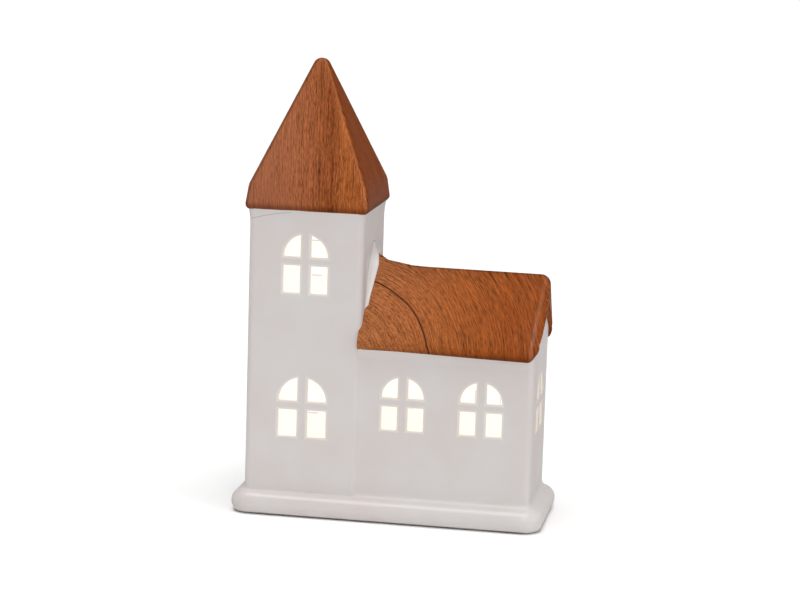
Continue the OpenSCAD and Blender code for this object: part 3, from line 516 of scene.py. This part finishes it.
def lampMaterial(look):
    # clear lit dome: brightest at its middle, a little dimmer at its foot
    material, w = startMaterial("lampLens")
    up = w.place().parts()[2].step(*look["heights"])
    finishMaterial(w, Base_Color=w.mix(up, *look["colours"]), Roughness=look["roughness"],
                   Emission_Color=w.mix(up, *look["glows"]), Emission_Strength=look["strength"])
    return material


materials = {name: plainMaterial(name, row) for name, row in finishes.items()}
materials["whiteGlaze"] = glazeMaterial("whiteGlaze", glaze)
materials["spireWood"] = woodMaterial("spireWood", film, False)
materials["naveWood"] = woodMaterial("naveWood", film, True)
materials["lampLens"] = lampMaterial(lens)
print("materials made:", len(materials))

# which finish each piece of the frame wears
worn = {
    "whiteGlaze": ["ceramic_house"],
    "spireWood": ["tower_roof_film"],
    "naveWood": ["nave_roof_film"],
    "padSoft": ["foot_pads"],
    "glueMilky": ["glue_dabs"],
    "modulePlastic": ["module_case", "module_cap", "battery_door"],
    "plated": ["cap_screws", "cell_cans", "contact_bridge", "contact_positive", "contact_negative",
               "contact_springs", "switch_body"],
    "cellCap": ["cell_caps"],
    "cellSleeve": ["cell_sleeves"],
    "boardGreen": ["circuit_board"],
    "resistorBody": ["resistor"],
    "tinned": ["resistor_leads", "lamp_leads", "solder_joints"],
    "lampLens": ["tower_lamp", "nave_lamp"],
    "knobBlack": ["switch_knob"],
    "pinBrass": ["switch_pins"],
    "wireRed": ["switch_wires"],
}
for finish, wearers in worn.items():
    for name in wearers:
        mesh = nodes[name].data
        mesh.materials.clear()
        mesh.materials.append(materials[finish])
print("finishes assigned")

# the printed skins of the roofs, in mm and degrees
skin = {
    "thick": 0.28,
    "inset": 0.05,                      # how far they lie under the CAD's face
    "clear": 0.06,                      # least height of the spire's rays over the bottom of the inner hull
    "wobble": 0.16,                     # unevenness of the cut edges, as sine waves of those counts
    "wobbleWaves": (3, 7, 13),
    "spireEdge": 149.0,                 # height of the spire skin's lower edge
    "spireTurn": 212.0,                 # above it the rays fan out to the tip
    "spireColumns": 40,                 # columns on each side of the spire, closer at its corners by the power
    "spirePower": 1.8,
    "lipRows": (3.4, 15),               # rows up to that height over the edge, and their count
    "faceRows": (4.5, 46),              # rows from that height on, and their count
    "tipRows": 12,
    "edgeFade": 2.5,                    # the unevenness fades out over that height
    "naveTurn": 62.0,                   # past it the rays fan out to the verge
    "naveMiddle": 95.0,                 # height of the line that the nave's rays start from
    "eaveAngles": (-20.9, -23.7),       # lowest ray's angle at the tower and at the gable
    "stop": 3.7,                        # how far the skin stops off the tower, with its shares down the slope
    "stopShares": ((0, 0.66), (0.1, 0.84), (0.2, 1), (0.72, 0.45), (0.76, 0.05), (0.8, 0)),
    "eaveInner": 27.3,                  # the skin turns in under the verge as far as these half widths
    "footInner": 25.2,
    "spireSoften": (0.6, 4.0),          # reach of the averaged normals, from least to most
    "naveSoften": 3.0,
}
# the hollow glazed corner between the nave's roof and the tower: its width, its rise at the wall and how it fades
# down the slope, and the long low swell of the ridge beside it
hollowCorner = {
    "width": 3.8,
    "rise": 5.0,
    "fade": (12.0, 20.4),
    "power": 4,
    "swellWidth": 26.0,
    "swell": 1.35,
    "swellFade": (4.0, 20.0),
    "swellPower": 1.2,
    "angles": (9, 171),
    "lap": 0.4,
    "depths": (0.04, 1.2),
}


def touchingPlanes(balls):
    # planes n . p = h that touch the hull of the balls (centre, radius): along each pair, n . (cj - ci) = ri - rj
    # turned about the line between them, on three at once, where two such rules leave n two choices, and all round
    centres, radii = balls[:, :3], balls[:, 3]
    turns = np.radians(np.arange(0, 360, 4.0))[:, None]
    normals = []
    for i in range(len(balls)):
        for j in range(i + 1, len(balls)):
            length = np.linalg.norm(centres[j] - centres[i])
            axis = (centres[j] - centres[i]) / length
            lean = (radii[i] - radii[j]) / length
            side = np.cross(axis, (0, 0, 1) if abs(axis[2]) < 0.9 else (1, 0, 0))
            side = side / np.linalg.norm(side)
            ring = np.cos(turns) * side + np.sin(turns) * np.cross(axis, side)
            normals.append(ring * math.sqrt(1 - lean * lean) + axis * lean)
            for k in range(j + 1, len(balls)):
                edges = centres[[j, k]] - centres[i]
                upright = np.cross(edges[0], edges[1])
                size = np.linalg.norm(upright)
                if size > 0.001:
                    flat = np.linalg.lstsq(edges, radii[i] - radii[[j, k]], rcond=None)[0]
                    rest = upright * math.sqrt(max(0.0, 1 - flat @ flat)) / size
                    normals.append(np.array([flat + rest, flat - rest]))
    normals = np.vstack(normals)
    reach = normals @ centres.T + radii
    normals = normals[(reach > reach.max(axis=1, keepdims=True) - 0.00001).sum(axis=1) > 1]
    turn = (np.arange(3000) + 0.5) * math.pi * (3 - math.sqrt(5))
    height = 1 - 2 * (np.arange(3000) + 0.5) / 3000
    level = np.sqrt(1 - height ** 2)
    normals = np.vstack([normals, np.stack([level * np.cos(turn), level * np.sin(turn), height], axis=1)])
    return normals, (normals @ centres.T + radii).max(axis=1)


def skinPoints(origins, directions, hulls):
    # where each ray leaves the outermost of the hulls: it meets each plane at (h - n . o) / (n . d), ends at the
    # least of these where n . d > 0, and misses the hull where one with n . d < 0 lets it in later
    far = np.zeros(len(directions))
    tiny = 1e-9
    for balls in hulls:
        normals, heights = touchingPlanes(balls)
        for start in range(0, len(directions), 2000):
            part = slice(start, start + 2000)
            facing = directions[part] @ normals.T
            room = heights - origins[part] @ normals.T
            meet = room / np.where(np.abs(facing) > tiny, facing, tiny)
            out = np.where(facing > tiny, meet, np.inf).min(axis=1)
            into = np.where(facing < -tiny, meet, -np.inf).max(axis=1)
            outside = ((np.abs(facing) <= tiny) & (room < 0)).any(axis=1)
            far[part] = np.maximum(far[part], np.where((out > into) & ~outside, out, 0))
    return origins + directions * far[:, None]


def uneven(angle, seed):
    # a cut made by hand: a few sine waves along the edge
    waves = skin["wobbleWaves"]
    shift = np.random.default_rng(seed).uniform(0, 2 * math.pi, len(waves))
    return sum(np.sin(n * angle + turn) / (i + 1) for i, (n, turn) in enumerate(zip(waves, shift))) * skin["wobble"]


def spireHulls(inset):
    # lips, shoulders and tip of the spire, drawn inward
    rows = [(house["towerX"], 0, house["top"] - house["tipR"], house["tipR"] - inset)]
    for over, r, rise in ((house["spireOver"], house["lipR"], house["lipR"]),
                          (house["spireOver"] - house["shoulderIn"], house["shoulderR"], house["shoulderH"])):
        halfX, halfY = (half + over - r for half in house["towerHalf"])
        rows += [(house["towerX"] + sx * halfX, sy * halfY, house["spireEave"] + rise, r - inset)
                 for sx in (-1, 1) for sy in (-1, 1)]
    return [np.array(rows)]


def naveHulls(inset):
    # the straight roof with its verge, and the two bends of the sweep up to the tower, drawn inward
    eaveY = house["naveHalf"] + house["eaveOver"] - house["eaveR"]
    eaveZ = house["naveEave"] + house["eaveR"]
    ridgeZ = house["ridge"] - house["ridgeR"]

    def section(x, rise):
        sides = [(x, side * eaveY, eaveZ + house["eaveLift"], house["eaveR"] - inset) for side in (-1, 1)]
        return sides + [(x, 0, ridgeZ + rise, house["ridgeR"] - inset)]

    reach = house["gable"] + house["vergeOver"]
    top = ridgeZ - house["ridgeDrop"]
    bendR = house["eaveR"] + (house["ridgeR"] - house["eaveR"]) * house["bendUp"]
    verge = [(reach - house["ridgeR"], 0, top, house["ridgeR"] - inset)]
    for side in (-1, 1):
        verge.append((reach - house["vergeDraw"] * house["bendShare"] - bendR, side * eaveY * (1 - house["bendUp"]),
                      eaveZ + (top - eaveZ) * house["bendUp"], bendR - inset))
        verge.append((reach - house["vergeDraw"] - house["eaveR"], side * eaveY, eaveZ, house["eaveR"] - inset))
    start = section(house["towerFace"] + house["sweepL"], 0)
    bend = section(house["towerFace"] + house["sweepL"] * house["sweepPlace"], house["sweepH"] * house["sweepRise"])
    end = section(house["towerFace"] - house["lap"], house["sweepH"])
    return [np.array(start + verge), np.array(bend + start), np.array(end + bend)]


def softNormals(points, places, reach, wrap):
    # outward normals of a grid whose rows are first averaged over a reach, so that creases turn softly:
    # weight = exp(-(distance / reach)^2 / 2)
    weight = np.exp(-(((places[:, None] - places[None]) / reach[:, None]) ** 2) / 2)
    weight /= weight.sum(axis=1, keepdims=True)
    smooth = np.einsum("ij,jkc->ikc", weight, points)
    if wrap:
        around = np.roll(smooth, -1, axis=1) - np.roll(smooth, 1, axis=1)
    else:
        around = np.gradient(smooth, axis=1)
    normals = np.cross(around, np.gradient(smooth, axis=0))
    size = np.linalg.norm(normals, axis=2, keepdims=True)
    return normals / np.maximum(size, 1e-9), size[..., 0] > 1e-6


def makeSheet(name, outer, inner, wrap, material, normals=None):
    # closed sheet from two grids of points, with strips along its edges; wrap joins the last column to the first
    rows, columns = outer.shape[:2]
    outside = np.arange(rows * columns).reshape(rows, columns)
    if wrap:
        outside = np.hstack([outside, outside[:, :1]])
    inside = outside + rows * columns

    def quads(grid):
        return np.stack([grid[:-1, :-1], grid[:-1, 1:], grid[1:, 1:], grid[1:, :-1]], axis=-1).reshape(-1, 4)

    def strip(first, second):
        return np.stack([first[:-1], second[:-1], second[1:], first[1:]], axis=-1)

    faces = [quads(outside), quads(inside)[:, ::-1], strip(outside[0], inside[0]), strip(inside[-1], outside[-1])]
    if not wrap:
        faces += [strip(inside[:, 0], outside[:, 0]), strip(outside[:, -1], inside[:, -1])]
    points = np.vstack([outer.reshape(-1, 3), inner.reshape(-1, 3)]) * mm
    mesh = bpy.data.meshes.new(name)
    mesh.from_pydata(points.tolist(), [], np.vstack(faces).tolist())
    if normals is not None:
        both = np.vstack([normals.reshape(-1, 3), -normals.reshape(-1, 3)])
        mesh.attributes.new("soft", "FLOAT_VECTOR", "POINT").data.foreach_set("vector", both.ravel())
    shape = bmesh.new()
    shape.from_mesh(mesh)
    bmesh.ops.remove_doubles(shape, verts=shape.verts, dist=0.002 * mm)
    if shape.calc_volume(signed=True) < 0:
        bmesh.ops.reverse_faces(shape, faces=shape.faces)
    shape.to_mesh(mesh)
    shape.free()
    mesh.polygons.foreach_set("use_smooth", np.ones(len(mesh.polygons), bool))
    if normals is None:
        mesh.set_sharp_from_angle(angle=math.radians(40))
    else:
        kept = np.empty(len(mesh.vertices) * 3)
        mesh.attributes["soft"].data.foreach_get("vector", kept)
        mesh.attributes.remove(mesh.attributes["soft"])
        mesh.normals_split_custom_set_from_vertices(kept.reshape(-1, 3).tolist())
    mesh.materials.append(material)
    piece = bpy.data.objects.new(name, mesh)
    bpy.context.scene.collection.objects.link(piece)
    print(name, len(mesh.polygons), "faces")
    return piece


def layers(origins, directions, hulls, depths):
    # faces at those depths along the same rays
    shape = origins.shape
    flat = (origins.reshape(-1, 3), directions.reshape(-1, 3))
    return [skinPoints(*flat, hulls(depth)).reshape(shape) for depth in depths]


def makeSpireSkin():
    # level rays from the tower's axis up to a turning height, then a fan of rays up to the tip
    t = np.linspace(-1, 1, skin["spireColumns"] + 1)[:-1]
    quarter = 45 + 45 * np.sign(t) * np.abs(t) ** skin["spirePower"]
    psi = np.radians(np.concatenate([quarter + 90 * k for k in range(4)]))
    (lipTop, lipRows), (faceFoot, faceRows) = skin["lipRows"], skin["faceRows"]
    up = np.concatenate([np.linspace(0, lipTop, lipRows),
                         np.linspace(faceFoot, skin["spireTurn"] - skin["spireEdge"], faceRows)])
    z = skin["spireEdge"] + up[:, None] + uneven(psi, 3) * np.clip(1 - up / skin["edgeFade"], 0, 1)[:, None]
    e = np.radians(np.linspace(0, 90, skin["tipRows"] + 1)[1:])
    z = np.vstack([z, np.full((len(e), len(psi)), skin["spireTurn"])])
    tilt = np.concatenate([np.zeros(len(up)), e])[:, None]
    directions = np.stack([np.cos(tilt) * np.cos(psi), np.cos(tilt) * np.sin(psi),
                           np.sin(tilt) + 0 * psi], axis=-1)
    origins = np.stack([np.full(z.shape, house["towerX"]), np.zeros(z.shape), z], axis=-1)
    outer, = layers(origins, directions, spireHulls, [skin["inset"]])
    # the inner face's rays start above the bottom of its hull, which they would miss
    depth = skin["inset"] + skin["thick"]
    origins[..., 2] = np.maximum(z, house["spireEave"] + depth + skin["clear"])
    inner, = layers(origins, directions, spireHulls, [depth])
    level = outer[..., 2].mean(axis=1)
    reach = np.clip((level - house["spireEave"] - house["lipR"]) * 0.6, *skin["spireSoften"])
    reach = np.minimum(reach, np.maximum(house["top"] + 1 - level, 0) * 0.5 + 0.3)
    normals, sound = softNormals(outer, level, reach, True)
    normals = normals * np.sign(np.einsum("rcj,rcj->", normals, directions))
    normals[~sound] = (0, 0, 1)
    piece = makeSheet("spire_skin", outer, inner, True, materials["spireWood"], normals)
    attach(piece, "house")
    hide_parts("tower_roof_film")


def leftEdge(y):
    # the skin's edge along the tower: off the face by the stop at the ridge, against it lower down, and round
    # the tower's upright corner, at its centre + sqrt(r^2 - past^2), to its end at the front and the back
    y = np.abs(y)
    shares = np.array(skin["stopShares"])
    x = house["towerFace"] + skin["stop"] * np.interp(y / house["naveHalf"], shares[:, 0], shares[:, 1])
    past = np.clip(y - (house["towerHalf"][1] - house["cornerR"]), 0, house["cornerR"])
    corner = house["towerFace"] - house["cornerR"] + np.sqrt(house["cornerR"] ** 2 - past ** 2)
    return np.maximum(np.where(past > 0, corner, x), house["towerFace"] - house["lap"])


def naveAngle(share, x):
    # angle about the roof's middle line, from one lower edge to the other, for a share of the way round
    low, high = skin["eaveAngles"]
    ends = (house["towerFace"], house["gable"])
    foot = low + (high - low) * (x - ends[0]) / (ends[1] - ends[0]) + uneven(x * 0.09, 5)
    return np.radians(foot + (180 - 2 * foot) * share)


def cornerRise(x, y):
    # how far the roof's face is lifted beside the tower: height (1 - s)^power at the share s of the width, for the
    # narrow hollow corner and for a low swell; both fade out down the slope
    rise = 0
    for keys in (("width", "rise", "fade", "power"), ("swellWidth", "swell", "swellFade", "swellPower")):
        width, height, (near, far), power = (hollowCorner[key] for key in keys)
        left = 1 - np.clip((x - house["towerFace"]) / width, 0, 1)
        down = np.clip((far - np.abs(y)) / (far - near), 0, 1)
        rise = rise + height * left ** power * down * down * (3 - 2 * down)
    return rise


def roofRays(x, psi, phi):
    # rays from the roof's middle line: square to it at phi 0, turned on towards the gable by phi
    directions = np.stack([np.sin(phi) + 0 * psi, np.cos(phi) * np.cos(psi), np.cos(phi) * np.sin(psi)], axis=-1)
    return np.stack([x, 0 * x, 0 * x + skin["naveMiddle"]], axis=-1), directions


def lastAngle(x, psi):
    # the fan's last angle, by halved steps: where the ray leaves the roof's end under the bare gable's line
    slope = (house["gableTop"] - house["gableFoot"]) / house["naveHalf"]
    line = house["gableTop"] + uneven(psi * 1.4, 11)
    low, high = np.zeros(len(psi)), np.full(len(psi), math.radians(70))
    for step in range(22):
        phi = (low + high) / 2
        point = skinPoints(*roofRays(x, psi, phi), naveHulls(skin["inset"]))
        y = np.abs(point[:, 1])
        inner = np.where(point[:, 0] > house["gable"], skin["footInner"], skin["eaveInner"])
        gone = (point[:, 2] + slope * y < line) & (y < inner)
        low, high = np.where(gone, low, phi), np.where(gone, phi, high)
    return low


def makeNaveSkin():
    # rays square to the ridge from the tower to a turning place, then a fan of rays round to the verge's end
    side = np.concatenate([np.linspace(0, 0.065, 14), np.linspace(0.075, 0.43, 46), np.linspace(0.44, 0.5, 8)])
    share = np.concatenate([side, 1 - side[-2::-1]])
    x = np.full(len(share), house["towerFace"] + skin["stop"])
    for step in range(4):
        edge = skinPoints(*roofRays(x, naveAngle(share, x), 0 * x), naveHulls(skin["inset"]))
        x = np.maximum(leftEdge(edge[:, 1]) + uneven(share * 6, 7) * 0.3, house["towerFace"] - house["lap"])
    run = np.concatenate([np.linspace(0, 0.26, 27), np.linspace(0.3, 1, 17)])[:, None]
    x = x + (skin["naveTurn"] - x) * run
    psi = naveAngle(share, x)
    fan = np.linspace(0, 1, 31)[1:, None]
    phi = np.vstack([np.zeros(x.shape), fan * lastAngle(x[-1], psi[-1])])
    x = np.vstack([x, np.repeat(x[-1:], len(fan), axis=0)])
    psi = np.vstack([psi, np.repeat(psi[-1:], len(fan), axis=0)])
    origins, directions = roofRays(x, psi, phi)
    outer, inner = layers(origins, directions, naveHulls, (skin["inset"], skin["inset"] + skin["thick"]))
    lift = cornerRise(x, outer[..., 1])[..., None] * directions
    outer, inner = outer + lift, inner + lift
    steps = np.linalg.norm(np.diff(outer, axis=0), axis=2).mean(axis=1)
    along = np.concatenate([[0], np.cumsum(steps)])
    normals, _ = softNormals(outer, along, np.full(len(along), skin["naveSoften"]), False)
    normals = normals * np.sign(np.einsum("rcj,rcj->", normals, directions))
    piece = makeSheet("nave_skin", outer, inner, False, materials["naveWood"], normals)
    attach(piece, "house")
    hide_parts("nave_roof_film")
    makeVergeLining(outer[-1])


# the lining's two faces under the verge, as distances in mm, and its least length
lining = {"faces": (0.26, 0.02), "least": 0.1}


def makeVergeLining(end):
    # the skin turned in under the verge, from its end back to the bare gable's wall
    end = end[end[:, 0] > house["gable"] + lining["least"]]
    back = np.linspace(0, 1, 5)[:, None]
    x = end[:, 0] + (house["gable"] - end[:, 0]) * back
    under = np.stack([x, 0 * x + end[:, 1], 0 * x + end[:, 2]], axis=-1)
    inward = np.stack([0 * end[:, 1], -np.clip(end[:, 1] / 4, -1, 1), 0 * end[:, 1] - 1], axis=-1)
    outer, inner = (under + inward * depth for depth in lining["faces"])
    piece = makeSheet("verge_lining", outer, inner, False, materials["naveWood"])
    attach(piece, "house")


def makeHollowCorner():
    # glazed hollow corner between the roof and the tower's side: the roof's face lifted to meet the wall, with its
    # inner edge let into the wall
    psi = np.radians(np.linspace(*hollowCorner["angles"], 61))
    near, far = hollowCorner["width"], hollowCorner["swellWidth"]
    along = np.concatenate([np.linspace(0, near, 14), np.linspace(near, far, 11)[1:]])[:, None]
    x = house["towerFace"] + along + 0 * psi
    origins, directions = roofRays(x, psi + 0 * x, 0 * x)
    outer, inner = layers(origins, directions, naveHulls,
                          [house["film"] + depth for depth in hollowCorner["depths"]])
    outer = outer + cornerRise(x, outer[..., 1])[..., None] * directions
    inner[0, :, 0] -= hollowCorner["lap"]
    piece = makeSheet("hollow_corner", outer, inner, False, materials["whiteGlaze"])
    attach(piece, "house")


makeSpireSkin()
makeNaveSkin()
makeHollowCorner()
print("skins made")

stage = {"size": 20.0, "colour": (0.98, 0.98, 0.98), "roughness": 0.7, "world": 0.32}
suns = [
    # name, direction to the light (azimuth, elevation in degrees), strength, softness in degrees, colour
    ("key", (12, 40), 0.69, 30, (1, 0.99, 0.975)),
    ("top", (0, 84), 2.05, 46, (1, 1, 1)),
    ("right", (75, 24), 0.45, 20, (1, 1, 1)),
]
# glow inside the house: lights at those places in mm, of that power in watts
lamps = [((house["towerX"], 0, 60), 0.006), ((house["towerX"], 0, 135), 0.005),
         ((10, 0, 60), 0.006), ((45, 0, 60), 0.006)]
glowLight = {"radius": 6 * mm, "colour": (1, 0.8, 0.5)}


def makeStage():
    # flat pale floor at the house's foot, and an even white sky
    half = stage["size"] / 2
    mesh = bpy.data.meshes.new("floor")
    mesh.from_pydata([(-half, -half, 0), (half, -half, 0), (half, half, 0), (-half, half, 0)], [], [(0, 1, 2, 3)])
    floor = bpy.data.objects.new("floor", mesh)
    bpy.context.scene.collection.objects.link(floor)
    material, w = startMaterial("paleFloor")
    finishMaterial(w, Base_Color=(*stage["colour"], 1), Roughness=stage["roughness"])
    mesh.materials.append(material)
    world = bpy.data.worlds.new("studio")
    world.use_nodes = True
    world.node_tree.nodes["Background"].inputs["Color"].default_value = (1, 1, 1, 1)
    world.node_tree.nodes["Background"].inputs["Strength"].default_value = stage["world"]
    bpy.context.scene.world = world
    bpy.context.scene.view_settings.view_transform = "Standard"


def makeLights():
    # suns that shine from direction (sin a cos e, -cos a cos e, sin e), and the lamps' glow
    for name, (azimuth, elevation), strength, soft, colour in suns:
        data = bpy.data.lights.new(name, "SUN")
        data.energy, data.color, data.angle = strength, colour, math.radians(soft)
        light = bpy.data.objects.new(name, data)
        a, e = math.radians(azimuth), math.radians(elevation)
        toLight = Vector((math.sin(a) * math.cos(e), -math.cos(a) * math.cos(e), math.sin(e)))
        light.rotation_euler = toLight.to_track_quat("Z", "Y").to_euler()
        bpy.context.scene.collection.objects.link(light)
    for i, (place, power) in enumerate(lamps):
        data = bpy.data.lights.new("glow" + str(i), "POINT")
        data.shadow_soft_size, data.energy, data.color = glowLight["radius"], power, glowLight["colour"]
        light = bpy.data.objects.new("glow" + str(i), data)
        light.location = Vector(place) * mm
        bpy.context.scene.collection.objects.link(light)


makeStage()
makeLights()
print("stage and lights set")
